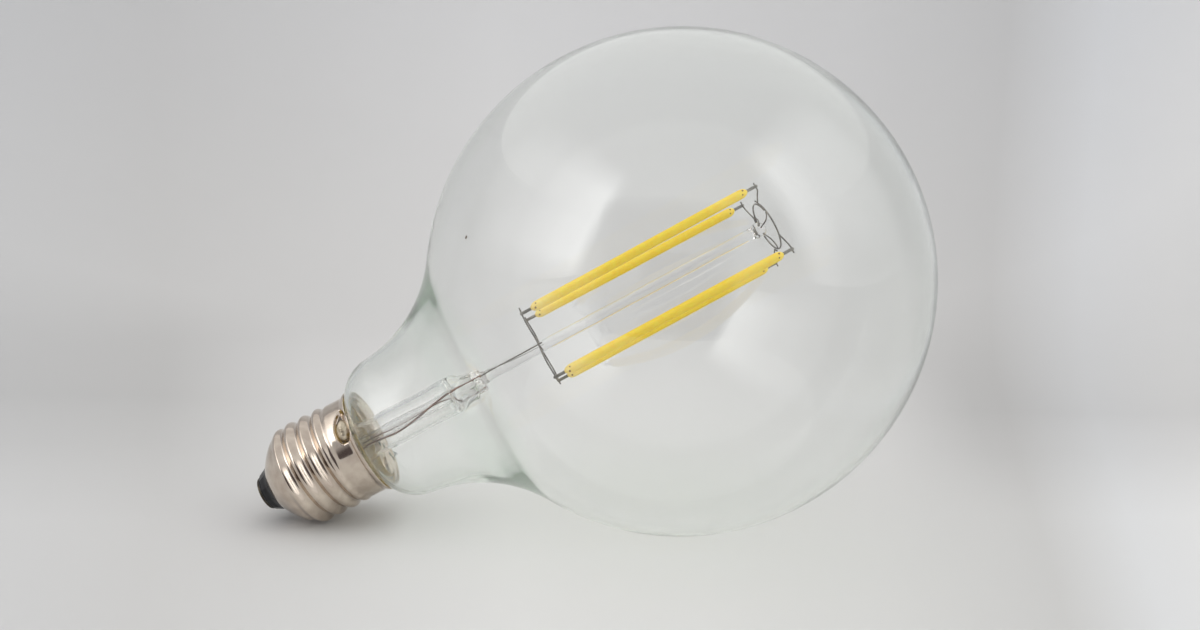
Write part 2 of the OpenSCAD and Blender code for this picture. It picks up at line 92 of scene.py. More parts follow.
FLARE_R, FLARE_WALL, FLARE_BEND_R = 4.7, 0.9, 13.0
STEM_H, PRESS_H, PRESS_T = 42.1, 6.1, 4.5
PRESS_TURN = 60.0
LEAN, LEAN_DIR = 1.2, -11.0
COLUMN_R, BEAD_R = 1.5, 2.1
LEAD_OFFSET = 2.6
EXHAUST_R, EXHAUST_BORE_R = 1.7, 1.0
# Splinters in the neck: turn, radius and height of each.
SLIVER_R = 0.11
SLIVER_PLACES = [
    (121, 9.6, -81.0), (117, 9.4, -80.6), (124, 9.5, -81.6), (119, 9.2, -80.2), (113, 9.7, -81.4),
    (92, 9.0, -82.2), (97, 9.3, -81.6), (105, 9.4, -79.3), (108, 9.0, -78.9), (40, 9.2, -84.6),
]

FILAMENT_LEN, FILAMENT_R, FILAMENT_END = 61.0, 1.2, 2.0
TAB_FREE, TAB_IN, TAB_W, TAB_T = 2.5, 1.5, 0.8, 0.2
CAGE_HALF, CAGE_TURN = 9.0, -17.4
LEAD_H = 16.7
WIRE_R, RING_R, STUB = 0.25, 6.6, 1.0
# The thin wires of the cage are drawn a little finer than the frame has them.
DRAWN_R = 0.19
# How far each filament's lower end was welded off its place, inwards.
WELDED_OFF = (0.55, 0.0, 0.0, -0.2)
ARM_SHIFT = 11.0

# ---- places, from the frame ----

glass_low, glass_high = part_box("glass_envelope")
GLOBE_R = (glass_high.y - glass_low.y) / 2 / MM
GLOBE_CENTRE = Vector((glass_high.x, 0, glass_high.z)) - Vector((GLOBE_R, 0, GLOBE_R)) * MM
MOUNTS = {m["name"]: m for m in frame["record"]["mounts"]}
LAMP_Z = -Vector(MOUNTS["screw_cap"]["axis"]).normalized()
LAMP_Y = Vector((0, -1, 0))
LAMP_X = LAMP_Y.cross(LAMP_Z)
TO_PART = Matrix((LAMP_X, LAMP_Y, LAMP_Z)).transposed().to_4x4()
LAMP = Matrix.Translation(GLOBE_CENTRE) @ TO_PART @ Matrix.Scale(MM, 4)

RIM_Z = -(GLOBE_R + RIM_DROP)
NECK_END_Z = RIM_Z - NECK_IN_CAP
THREAD_TOP_Z = RIM_Z - COLLAR_H
DOME_TOP_Z = THREAD_TOP_Z - (CRESTS - 0.5) * PITCH
SHELL_END_Z = DOME_TOP_Z - DOME_H
INSULATOR_Z = SHELL_END_Z - INSULATOR_H
CONTACT_Z = INSULATOR_Z - CONTACT_T
PRESS_Z = NECK_END_Z + STEM_H
PRESS_FOOT_Z = PRESS_Z - PRESS_H
FLARE_Z = NECK_END_Z + FLARE_BEND_R - 0.5
TIE_LOW_Z = PRESS_Z + LEAD_H
BODY_LOW_Z = TIE_LOW_Z + TAB_FREE
BODY_HIGH_Z = BODY_LOW_Z + FILAMENT_LEN
TIE_HIGH_Z = BODY_HIGH_Z + TAB_FREE
BEAD_Z = TIE_HIGH_Z - 2.4
NECK_IN_R = NECK_R - NECK_WALL


def turned(degrees, axis):
    return Matrix.Rotation(math.radians(degrees), 4, axis)


LEANING = (
    LAMP
    @ Matrix.Translation((0, 0, NECK_END_Z))
    @ turned(LEAN_DIR, "Z")
    @ turned(LEAN, "Y")
    @ turned(-LEAN_DIR, "Z")
    @ Matrix.Translation((0, 0, -NECK_END_Z))
)
CAGED = LEANING @ turned(CAGE_TURN, "Z")

# ---- making meshes ----


def polar(r, degrees, z):
    a = math.radians(degrees)
    return Vector((r * math.cos(a), r * math.sin(a), z))


def mix(a, b, t):
    return a + (b - a) * t


def step_between(low, high, x):
    """0 below low, 1 above high and smooth in between."""
    t = min(max((x - low) / (high - low), 0), 1)
    return t * t * (3 - 2 * t)


def wobble(point, size, seed=0):
    """Smooth noise from about -1 to 1, in lumps of about this size."""
    return noise.noise(Vector(point) / size + Vector((seed * 17.3, seed * 5.1, seed * 9.7)))


def arc(c, r, a, b, steps):
    """Points (r, z) round c from angle a to angle b, in degrees."""
    angles = [math.radians(mix(a, b, i / steps)) for i in range(steps + 1)]
    return [(c[0] + r * math.cos(t), c[1] + r * math.sin(t)) for t in angles]


def grid_faces(rows, columns, wrap_rows=False):
    """Quads over rings of points that close on themselves."""
    last = rows if wrap_rows else rows - 1
    faces = []
    for i in range(last):
        a, b = i * columns, (i + 1) % rows * columns
        for j in range(columns):
            k = (j + 1) % columns
            faces.append((a + j, a + k, b + k, b + j))
    return faces


def lathe(outline, columns, shape=None):
    """Turns a closed outline of (r, z) points about Z. shape(r, z, turn) may move a point."""
    verts = []
    for r, z in outline:
        for j in range(columns):
            turn = TAU * j / columns
            r2, z2 = shape(r, z, turn) if shape else (r, z)
            verts.append((r2 * math.cos(turn), r2 * math.sin(turn), z2))
    return verts, grid_faces(len(outline), columns, wrap_rows=True)


def smooth_line(points, per_step=6):
    """A Catmull-Rom line through the points."""
    p = [Vector(q) for q in points]
    p = [2 * p[0] - p[1], *p, 2 * p[-1] - p[-2]]
    line = []
    for i in range(1, len(p) - 2):
        for k in range(per_step):
            t = k / per_step
            a, b, c, d = p[i - 1 : i + 3]
            line.append(
                0.5 * (2 * b + (c - a) * t + (2 * a - 5 * b + 4 * c - d) * t * t
                       + (3 * b - a - 3 * c + d) * t * t * t)
            )
    line.append(p[-2])
    return line


def wire(line, radius, sides=12, rough=0.0):
    """A round wire along a line, with rounded ends. rough dents it by that many millimetres."""
    ups = (line[1] - line[0]).orthogonal().normalized()
    verts = []
    last = len(line) - 1
    rows = 0
    for i, p in enumerate(line):
        along = (line[min(i + 1, last)] - line[max(i - 1, 0)]).normalized()
        ups = (ups - along * ups.dot(along)).normalized()
        side = along.cross(ups)
        rings = [(p, 1.0)]
        if i == 0:
            rings = [(p - along * radius * 0.6, 0.0), (p - along * radius * 0.45, 0.7), (p, 1.0)]
        if i == last:
            rings = [(p, 1.0), (p + along * radius * 0.45, 0.7), (p + along * radius * 0.6, 0.0)]
        for middle, share in rings:
            rows += 1
            for j in range(sides):
                t = TAU * j / sides
                out = ups * math.cos(t) + side * math.sin(t)
                dent = rough * wobble(middle + out, 0.9, 3) if rough else 0
                verts.append(middle + out * (radius * share + dent * share))
    return verts, grid_faces(rows, sides)


def standing(at, out, up):
    """Carries a shape to this place, with its Z axis pointing out and its up axis upwards."""
    return Matrix.Translation(at) @ out.to_track_quat("Z", up).to_matrix().to_4x4()


def joined(*shapes):
    """Several (verts, faces) as one."""
    verts, faces = [], []
    for v, f in shapes:
        n = len(verts)
        verts += list(v)
        faces += [tuple(i + n for i in face) for face in f]
    return verts, faces


def piece(name, shape, place, material, slot, *nodes, second=None, second_from=None):
    """Makes a smooth mesh from (verts, faces), which stands for these nodes of the frame."""
    verts, faces = shape
    mesh = bpy.data.meshes.new(name)
    mesh.from_pydata([place @ Vector(v) for v in verts], [], faces)
    mesh.materials.append(material)
    if second is not None:
        mesh.materials.append(second)
        for face in mesh.polygons[second_from:]:
            face.material_index = 1
    bm = bmesh.new()
    bm.from_mesh(mesh)
    bmesh.ops.remove_doubles(bm, verts=bm.verts, dist=1e-6)
    bmesh.ops.dissolve_degenerate(bm, edges=bm.edges, dist=1e-7)
    bmesh.ops.recalc_face_normals(bm, faces=bm.faces)
    bm.to_mesh(mesh)
    bm.free()
    mesh.shade_smooth()
    made = bpy.data.objects.new(name, mesh)
    bpy.context.scene.collection.objects.link(made)
    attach(made, "root")
    if nodes:
        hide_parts(*nodes)
    return made


# ---- making materials ----


def new_material(name):
    material = bpy.data.materials.new(name)
    material.use_nodes = True
    material.node_tree.nodes.clear()
    return material, material.node_tree


def node(tree, kind, inputs=None, **settings):
    """Adds a node. An input is a value, or a socket to link to."""
    made = tree.nodes.new(kind)
    for name, value in settings.items():
        setattr(made, name, value)
    for name, value in (inputs or {}).items():
        if isinstance(value, bpy.types.NodeSocket):
            tree.links.new(value, made.inputs[name])
        else:
            made.inputs[name].default_value = value
    return made


def lamp_coordinates(tree, scale=(1, 1, 1)):
    """Places in the lamp's frame, in millimetres, stretched by scale."""
    back = TO_PART.to_3x3().transposed()
    shift = -(back @ GLOBE_CENTRE) / MM
    place = node(tree, "ShaderNodeTexCoord").outputs["Object"]
    lamp = node(tree, "ShaderNodeMapping", {
        "Vector": place, "Scale": (1 / MM,) * 3, "Rotation": back.to_euler(), "Location": shift,
    })
    return node(tree, "ShaderNodeMapping", {"Vector": lamp.outputs[0], "Scale": scale}).outputs[0]


def noise_value(tree, where, scale, detail=3.0, roughness=0.5):
    made = node(tree, "ShaderNodeTexNoise", {
        "Vector": where, "Scale": scale, "Detail": detail, "Roughness": roughness,
    })
    return made.outputs["Fac"]


def ramp(tree, value, stops):
    """Colours at places from 0 to 1."""
    made = node(tree, "ShaderNodeValToRGB", {"Fac": value})
    elements = made.color_ramp.elements
    while len(elements) < len(stops):
        elements.new(0.5)
    for element, (at, colour) in zip(elements, stops):
        element.position = at
        element.color = (*colour, 1)
    return made.outputs["Color"]


def grey(value):
    return (value, value, value)


def bump(tree, height, strength, distance):
    made = node(tree, "ShaderNodeBump", {
        "Height": height, "Strength": strength, "Distance": distance,
    })
    return made.outputs["Normal"]


def mix_colour(tree, share, a, b):
    made = node(tree, "ShaderNodeMix", data_type="RGBA")
    for name, value in (("Factor", share), (6, a), (7, b)):
        socket = made.inputs[name]
        if isinstance(value, bpy.types.NodeSocket):
            tree.links.new(value, socket)
        else:
            socket.default_value = value if isinstance(value, float) else (*value, 1)
    return made.outputs[2]


def times(tree, a, b):
    """One colour multiplied by another."""
    made = node(tree, "ShaderNodeMix", data_type="RGBA", blend_type="MULTIPLY")
    made.inputs["Factor"].default_value = 1.0
    tree.links.new(a, made.inputs[6])
    tree.links.new(b, made.inputs[7])
    return made.outputs[2]


def calculated(tree, operation, a, b, c=0.0):
    made = node(tree, "ShaderNodeMath", {0: a, 1: b, 2: c}, operation=operation)
    return made.outputs[0]


def surface(tree, inputs):
    """One Principled surface, as the material's output."""
    shader = node(tree, "ShaderNodeBsdfPrincipled", inputs)
    node(tree, "ShaderNodeOutputMaterial", {"Surface": shader.outputs[0]})


# The share of rays that pass straight through, so that light caught in a wall gets out of it.
GLASS_LEAK = 0.02


def glass_material(name, passed, density, ripple, shade, thick=None):
    """Clear glass. passed and density tint its depth; thick tints the gather over the neck."""
    material, tree = new_material(name)
    where = lamp_coordinates(tree)
    waves = noise_value(tree, where, ripple, detail=2.0)
    clear = node(tree, "ShaderNodeBsdfPrincipled", {
        "Base Color": (1, 1, 1, 1), "Roughness": 0.0, "IOR": 1.5, "Transmission Weight": 1.0,
        "Normal": bump(tree, waves, 0.06, 0.0004),
    })
    if thick:
        height = node(tree, "ShaderNodeSeparateXYZ", {"Vector": where}).outputs["Z"]
        gather = node(tree, "ShaderNodeMapRange", {
            "Value": height, "From Min": RIM_Z + GATHER_FROM, "From Max": RIM_Z + GATHER_TO,
        }).outputs[0]
        stops = [(0.0, grey(1.0)), (0.35, thick), (0.75, thick), (1.0, grey(1.0))]
        tree.links.new(ramp(tree, gather, stops), clear.inputs["Base Color"])
    through = node(tree, "ShaderNodeBsdfTransparent", {"Color": (*shade, 1)})
    path = node(tree, "ShaderNodeLightPath").outputs
    lit = calculated(tree, "MAXIMUM", path["Is Shadow Ray"], path["Is Diffuse Ray"])
    lit = calculated(tree, "MAXIMUM", lit, GLASS_LEAK)
    both = node(tree, "ShaderNodeMixShader", {0: lit, 1: clear.outputs[0], 2: through.outputs[0]})
    depth = node(tree, "ShaderNodeVolumeAbsorption", {"Color": (*passed, 1), "Density": density})
    node(tree, "ShaderNodeOutputMaterial", {
        "Surface": both.outputs[0], "Volume": depth.outputs[0],
    })
    return material


def metal_material(name, low, high, roughness, grain, grain_scale, depth=0.00002):
    """Metal whose colour drifts between two tones, with fine grain stretched by grain_scale."""
    material, tree = new_material(name)
    tone = noise_value(tree, lamp_coordinates(tree), 0.35, detail=4.0)
    lines = noise_value(tree, lamp_coordinates(tree, grain_scale), grain, detail=4.0)
    polish = [(0.3, grey(roughness * 0.75)), (0.7, grey(roughness * 1.3))]
    surface(tree, {
        "Base Color": ramp(tree, tone, [(0.35, low), (0.65, high)]),
        "Metallic": 1.0,
        "Roughness": ramp(tree, lines, polish),
        "Normal": bump(tree, lines, 0.35, depth),
    })
    return material


def dull_material(name, low, high, roughness, scale, depth, coat=0.0, gloss=0.5):
    """Paint, plastic or cement: two tones in lumps of 1/scale millimetres, with a bump."""
    material, tree = new_material(name)
    lumps = noise_value(tree, lamp_coordinates(tree), scale, detail=5.0, roughness=0.6)
    polish = [(0.2, grey(roughness * 0.85)), (0.8, grey(roughness * 1.1))]
    surface(tree, {
        "Base Color": ramp(tree, lumps, [(0.3, low), (0.7, high)]),
        "Roughness": ramp(tree, lumps, polish),
        "Coat Weight": coat,
        "Specular IOR Level": gloss,
        "Normal": bump(tree, lumps, 0.5, depth),
    })
    return material


# ---- the materials ----

CLEAR_GLASS = glass_material(
    "clear_glass", (0.47, 0.84, 0.50), 23.0, 0.05, (0.997, 1.0, 0.998), (0.96, 0.985, 0.97)
)
STEM_GLASS = glass_material(
    "stem_glass", (0.75, 0.62, 0.55), 9.0, 0.35, (0.985, 0.98, 0.975)
)
NICKEL = metal_material(
    "nickel_plate", (0.57, 0.485, 0.41), (0.70, 0.61, 0.52), 0.08, 1.2, (0.25, 0.25, 6.0), 0.00001
)
BRASS = metal_material(
    "contact_brass", (0.06, 0.05, 0.04), (0.14, 0.12, 0.09), 0.5, 2.0, (1, 1, 1)
)
SOLDER = metal_material(
    "solder", (0.42, 0.35, 0.25), (0.72, 0.64, 0.51), 0.36, 1.6, (1, 1, 1), 0.00012
)
LEAD_COPPER = metal_material(
    "lead_copper", (0.16, 0.10, 0.09), (0.36, 0.22, 0.17), 0.4, 3.0, (1, 1, 0.2)
)
SEAL_RED = metal_material(
    "seal_wire", (0.15, 0.07, 0.055), (0.30, 0.15, 0.11), 0.35, 3.0, (1, 1, 0.2)
)
WIRE_NICKEL = metal_material(
    "wire_nickel", (0.10, 0.09, 0.08), (0.27, 0.25, 0.22), 0.34, 3.0, (1, 1, 0.2)
)
TAB_STEEL = metal_material(
    "tab_steel", (0.20, 0.19, 0.17), (0.38, 0.36, 0.32), 0.35, 3.0, (1, 1, 0.3)
)
BLACK_GLASS = dull_material(
    "black_glass", (0.004, 0.004, 0.005), (0.012, 0.012, 0.014), 0.34, 0.7, 0.00015, gloss=0.3
)
CEMENT = dull_material("cement", (0.19, 0.115, 0.02), (0.36, 0.235, 0.05), 0.8, 1.1, 0.0003)
FLUX = dull_material("flux", (0.012, 0.008, 0.005), (0.10, 0.065, 0.03), 0.3, 1.8, 0.0002, 0.5)
PHOSPHOR_SPOT = dull_material(
    "bare_spot", (0.16, 0.06, 0.01), (0.36, 0.16, 0.03), 0.7, 3.0, 0.0001
)
SPECK = dull_material("speck", (0.10, 0.07, 0.045), (0.2, 0.16, 0.11), 0.7, 5.0, 0.0001)
SLIVER = dull_material("sliver", (0.015, 0.035, 0.03), (0.08, 0.13, 0.11), 0.4, 5.0, 0.0001, 0.4)
BOARD = dull_material("board", (0.62, 0.61, 0.52), (0.74, 0.73, 0.66), 0.45, 0.8, 0.00003)
SLEEVE = dull_material(
    "capacitor_sleeve", (0.02, 0.025, 0.06), (0.05, 0.06, 0.12), 0.3, 0.5, 0.00003
)
EPOXY = dull_material("chip_black", (0.012, 0.012, 0.012), (0.03, 0.03, 0.03), 0.6, 4.0, 0.00005)
LACQUER = dull_material(
    "resistor_body", (0.12, 0.30, 0.22), (0.2, 0.42, 0.33), 0.35, 1.0, 0.00003
)
CERAMIC = dull_material("strip_ceramic", (0.7, 0.7, 0.62), (0.82, 0.82, 0.76), 0.6, 3.0, 0.00002)


def phosphor_material():
    """Yellow silicone, slightly uneven and softly glossy, with a pale painted highlight at the cap
    end.
    """
    material, tree = new_material("phosphor")
    where = lamp_coordinates(tree)
    lumps = noise_value(tree, where, 0.9, detail=4.0)
    height = node(tree, "ShaderNodeSeparateXYZ", {"Vector": where}).outputs["Z"]
    along = node(tree, "ShaderNodeMapRange", {
        "Value": height, "From Min": BODY_LOW_Z, "From Max": BODY_LOW_Z + 9,
    }).outputs[0]
    yellow = ramp(tree, lumps, [(0.3, (1.0, 0.66, 0.02)), (0.7, (1.0, 0.76, 0.045))])
    # Painted highlight: a paler tone at the end towards the cap.
    pale = ramp(tree, lumps, [(0.3, (0.98, 0.70, 0.17)), (0.7, (1.0, 0.79, 0.28))])
    surface(tree, {
        "Base Color": mix_colour(tree, along, pale, yellow),
        "Roughness": 0.42,
        "Subsurface Weight": 0.12,
        "Subsurface Radius": (1.0, 0.45, 0.1),
        "Subsurface Scale": 0.0008,
        "Normal": bump(tree, lumps, 0.25, 0.00005),
    })
    return material


PHOSPHOR = phosphor_material()

# ---- glass ----


def hollow_centre(sphere_z, sphere_r, hollow_r, waist_r):
    """The centre of the arc that leads from the sphere down to the waist of the neck."""
    across = hollow_r + waist_r
    return (across, sphere_z - math.sqrt((sphere_r + hollow_r) ** 2 - across**2))


def glass_side(sphere_z, sphere_r, hollow_r, waist_r, bend_r, tube_r):
    """One side of the glass, from the crown down to where the neck turns into a plain tube."""
    hollow = hollow_centre(sphere_z, sphere_r, hollow_r, waist_r)
    shoulder_z = RIM_Z + SHOULDER_R - 1.2
    reach = math.sqrt((hollow_r + bend_r) ** 2 - (shoulder_z - hollow[1]) ** 2)
    shoulder = (hollow[0] - reach, shoulder_z)
    to_hollow = math.degrees(math.atan2(hollow[1] - sphere_z, hollow[0]))
    to_shoulder = math.degrees(math.atan2(hollow[1] - shoulder[1], hollow[0] - shoulder[0]))
    to_tube = -math.degrees(math.acos((tube_r - shoulder[0]) / bend_r))
    return (
        arc((0, sphere_z), sphere_r, 90, to_hollow, 84)
        + arc(hollow, hollow_r, to_hollow + 180, to_shoulder + 180, 26)[1:]
        + arc(shoulder, bend_r, to_shoulder, to_tube, 22)[1:]
    )


def glass_globe():
    """The envelope, with the slight unevenness of blown glass, more of it towards the neck."""
    outside = glass_side(0, GLOBE_R, FILLET_R, WAIST_R, SHOULDER_R, NECK_R)
    inside = glass_side(
        -CROWN_GAIN, GLOBE_R - GLOBE_WALL, FILLET_IN_R, WAIST_R - NECK_WALL,
        SHOULDER_R - NECK_WALL, NECK_IN_R,
    )
    inner = set(inside)

    def uneven(r, z, turn):
        at = (r * math.cos(turn), r * math.sin(turn), z)
        off_pole = step_between(0, 8, r)
        near_neck = step_between(-30, -66, z) * step_between(RIM_Z, RIM_Z + 8, z)
        if (r, z) in inner:
            return r + off_pole * (0.03 * wobble(at, 26) + 0.10 * near_neck * wobble(at, 9, 2)), z
        r -= off_pole * 0.015 * (1 + wobble(at, 30, 4))
        return r + 0.03 * near_neck * wobble(at, 12, 5), z

    outline = outside + [(NECK_R, NECK_END_Z), (NECK_IN_R, NECK_END_Z)] + inside[::-1]
    glass = lathe(outline, 240, uneven)
    speck_at = polar(math.sqrt((GLOBE_R + 0.05) ** 2 - SPECK_Z**2), SPECK_TURN, SPECK_Z)
    speck = lathe([(0.0, 0.12), (0.22, 0.08), (0.34, 0.0), (0.0, -0.05)], 9)
    onto = standing(speck_at, speck_at.normalized(), "X")
    speck = ([onto @ Vector((x * 1.3, y, z)) for x, y, z in speck[0]], speck[1])
    piece(
        "globe_glass", joined(glass, speck), LAMP, CLEAR_GLASS, "clear_glass", "glass_envelope",
        second=SPECK, second_from=len(glass[1]),
    )


# ---- cap ----


def dome_point(t, inward):
    """A place on the shell's lower end, 0 at the hole and 1 at the last crest."""
    low = Vector((SHELL_HOLE_R, SHELL_END_Z + 1.4 * inward))
    high = Vector((CREST_R - inward, DOME_TOP_Z))
    out = Vector((high.y - low.y, low.x - high.x)).normalized()
    return low + (high - low) * t + DOME_BULGE * math.sin(math.pi * t) * out


def groove(z, turn):
    """Depth of the thread under its crests. It runs out a little way down the lower end."""
    down = (THREAD_TOP_Z - z) / PITCH
    wave = 0.5 - 0.5 * math.cos(TAU * down + turn - THREAD_START)
    return THREAD_DEPTH * (1 - wave) * step_between(CRESTS + 0.3, CRESTS - 0.8, down)


def thread_r(z, turn, inward):
    """Radius of the right-handed thread, fading into the collar."""
    down = (THREAD_TOP_Z - z) / PITCH
    start = step_between(-0.15, 0.6, down)
    return mix(COLLAR_R, CREST_R - groove(z, turn), start) - inward


def recess(turn, z):
    """How far the collar is pressed in round the side solder: a teardrop, pointed at one end."""
    u = math.radians(SOLDER_TURN) - turn
    u = (u + math.pi) % TAU - math.pi
    u *= COLLAR_R
    v = z - (RIM_Z - RECESS_DROP + SOLDER_TILT * u)
    t = (u + RECESS_AHEAD) / RECESS_L
    if not 0 < t < 1:
        return 0.0
    half = RECESS_HALF_W * math.sqrt(t) * (1 - t) ** 0.75 * 2.1
    return RECESS_DEPTH * step_between(1.06, 0.90, abs(v) / max(half, 0.05))


def shell_wall(inward):
    """One face of the shell, from its lip to the hole: (r, z), where r is None on the thread."""
    lip_end, collar_end = RIM_Z - LIP_EDGE - LIP_H, THREAD_TOP_Z + 0.6
    rows = [(LIP_R - inward, RIM_Z), (LIP_R - inward - 0.05, RIM_Z - 0.22)]
    for i in range(1, 14):
        t = i / 13
        flare = (0.5 + 0.5 * math.cos(math.pi * t)) ** 1.6
        out = COLLAR_R - inward + (LIP_R - COLLAR_R - 0.1) * flare
        rows.append((out, RIM_Z - LIP_EDGE - t * LIP_H))
    rows += [(COLLAR_R - inward, mix(lip_end, collar_end, i / 22)) for i in range(1, 22)]
    rows += [(None, mix(collar_end, DOME_TOP_Z, i / 92)) for i in range(93)]
    rows += [tuple(dome_point(1 - i / 26, inward)) for i in range(1, 27)]
    return rows


def screw_shell():
    """The rolled shell: lip, collar with the recess of the side solder, thread and lower end."""
    outer, inner = shell_wall(0), shell_wall(SHELL_T)
    outline = [(r, z, 0) for r, z in outer] + [(r, z, SHELL_T) for r, z in reversed(inner)]
    columns = 288
    verts = []
    for r, z, inward in outline:
        for j in range(columns):
            turn = TAU * j / columns
            r2 = thread_r(z, turn, inward) if r is None else r
            r2 -= groove(z, turn) if r is not None and z < DOME_TOP_Z else 0
            r2 -= recess(turn, z)
            r2 += 0.02 * wobble((r2 * math.cos(turn), r2 * math.sin(turn), z), 5, 6)
            verts.append((r2 * math.cos(turn), r2 * math.sin(turn), z))
    shell = (verts, grid_faces(len(outline), columns, wrap_rows=True))
    piece("shell_thread", shell, LAMP, NICKEL, "shell_metal", "screw_shell")


def insulator():
    """Black glass with shallow facets round its cone and a slightly chipped edge."""
    seat = [tuple(dome_point(i / 8, SHELL_T)) for i in (2, 1, 0)]
    cone = [
        (SHELL_HOLE_R, SHELL_END_Z), (SHELL_HOLE_R - 0.25, SHELL_END_Z - 0.15),
        (6.0, SHELL_END_Z - 0.5), (5.5, SHELL_END_Z - 1.2), (5.1, SHELL_END_Z - 2.0),
        (INSULATOR_R, INSULATOR_Z + 0.5), (INSULATOR_R - 0.12, INSULATOR_Z + 0.2),
        (INSULATOR_R - 0.4, INSULATOR_Z), (2.0, INSULATOR_Z), (0.4, INSULATOR_Z),
        (0.4, seat[0][1] + 1), (seat[0][0] - 0.3, seat[0][1] + 1),
    ]

    def facets(r, z, turn):
        cut = step_between(SHELL_END_Z - 0.2, SHELL_END_Z - 0.8, z) * (1 if r > 3 else 0)
        flat = 0.18 * abs(math.sin(5.5 * turn)) ** 0.7
        chip = 0.06 * wobble((r * math.cos(turn), r * math.sin(turn), z), 1.4, 8)
        return r - cut * (flat + chip), z

    outline = seat + cone
    fine = []
    for a, b in zip(outline, outline[1:] + outline[:1]):
        fine += [(mix(a[0], b[0], i / 4), mix(a[1], b[1], i / 4)) for i in range(4)]
    piece(
        "insulator_cone", lathe(fine, 176, facets), LAMP, BLACK_GLASS, "black_glass", "insulator",
    )


def centre_contact():
    """The brass disc under the insulator, with a lump of solder in its middle."""
    plate = [
        (CONTACT_R, CONTACT_Z + CONTACT_T), (CONTACT_R, CONTACT_Z + 0.2),
        (CONTACT_R - 0.1, CONTACT_Z + 0.06), (CONTACT_R - 0.25, CONTACT_Z),
        (0.4, CONTACT_Z), (0.4, CONTACT_Z + CONTACT_T),
    ]
    piece("contact_disc", lathe(plate, 96), LAMP, BRASS, "contact_brass", "centre_contact")
    dome = [(0, INSULATOR_Z), (0.4, INSULATOR_Z), (0.4, CONTACT_Z)]
    dome += [
        (2.2 * math.cos(t), CONTACT_Z - CONTACT_SOLDER_H * math.sin(t) ** 0.8)
        for t in (math.radians(a) for a in range(0, 91, 9))
    ]

    def lumpy(r, z, turn):
        return r * (1 + 0.06 * wobble((3 * math.cos(turn), 3 * math.sin(turn), z), 1.6, 9)), z

    piece("contact_solder", lathe(dome, 64, lumpy), LAMP, SOLDER, "solder", "centre_solder")


def side_solder():
    """A crumpled blob in the recess of the collar, in a dark rim of flux that runs to a point."""
    rows, columns = 30, 64
    flux_from = 26
    verts = []
    for i in range(rows + 1):
        share = min(i / flux_from, 1.0)
        spread = max(i - flux_from, 0) / (rows - flux_from)
        for j in range(columns):
            t = TAU * j / columns
            point = max(math.cos(t), 0) ** 3
            u = (SOLDER_HALF_L * share + spread * (0.5 + 1.5 * point)) * math.cos(t)
            v = (SOLDER_HALF_W * share + 0.35 * spread) * math.sin(t) * (1 - 0.3 * point)
            lift = SOLDER_H * (1 - share**3) - 0.05 * spread
            lift += 0.5 * (1 - share) * wobble((u, v, 0), 1.1, 11)
            lift += 0.24 * (1 - share) * abs(wobble((u, v, 5), 0.6, 12))
            turn = math.radians(SOLDER_TURN) - (u - 0.35) / COLLAR_R
            r = COLLAR_R - SOLDER_SINK + lift
            z = RIM_Z - SOLDER_DROP + v + SOLDER_TILT * u
            verts.append((r * math.cos(turn), r * math.sin(turn), z))
    faces = grid_faces(rows + 1, columns)
    faces.append(tuple(range(rows * columns, (rows + 1) * columns)))
    piece(
        "solder_blob", (verts, faces), LAMP, SOLDER, "solder", "side_solder",
        second=FLUX, second_from=flux_from * columns,
    )


def cement_ring():
    """Cement between neck and shell. It has sunk on the side away from the side solder."""
    root_in, collar_in = ROOT_R - SHELL_T, COLLAR_R - SHELL_T - CEMENT_GAP
    top = RIM_Z - LIP_EDGE
    glass = [
        (r + CEMENT_GAP, z)
        for r, z in glass_side(0, GLOBE_R, FILLET_R, WAIST_R, SHOULDER_R, NECK_R) if z < top
    ]
    outline = [(NECK_R + CEMENT_GAP, NECK_END_Z), (root_in, NECK_END_Z)]
    outline += [(root_in, THREAD_TOP_Z + 0.3)]
    outline += [(collar_in, THREAD_TOP_Z + 1.0), (collar_in, RIM_Z - LIP_H)]
    outline += [(COLLAR_R - 0.1, top - 0.6), (LIP_R - SHELL_T - 0.2, top - 0.05)]
    outline += [(mix(LIP_R - SHELL_T - 0.3, glass[0][0], i / 4), top) for i in range(4)]
    outline += glass

    def crept(r, z, turn):
        r -= 1.05 * recess(turn, z) * step_between(NECK_R, COLLAR_R - SHELL_T, r)
        lump = wobble((9 * math.cos(turn), 9 * math.sin(turn), 0), 2.2, 14)
        sunk = 0.4 + 2.4 * step_between(0.1, -0.7, math.sin(turn)) + 0.3 * lump
        if z > THREAD_TOP_Z + 1.0:
            z -= sunk * (z - THREAD_TOP_Z - 1.0) / (top - THREAD_TOP_Z - 1.0)
        if z < RIM_Z - LIP_H:
            r = min(r, collar_in)
        return r, z

    piece("cement_ring", lathe(outline, 144, crept), LAMP, CEMENT, "cement", "basing_cement")


# ---- stem ----


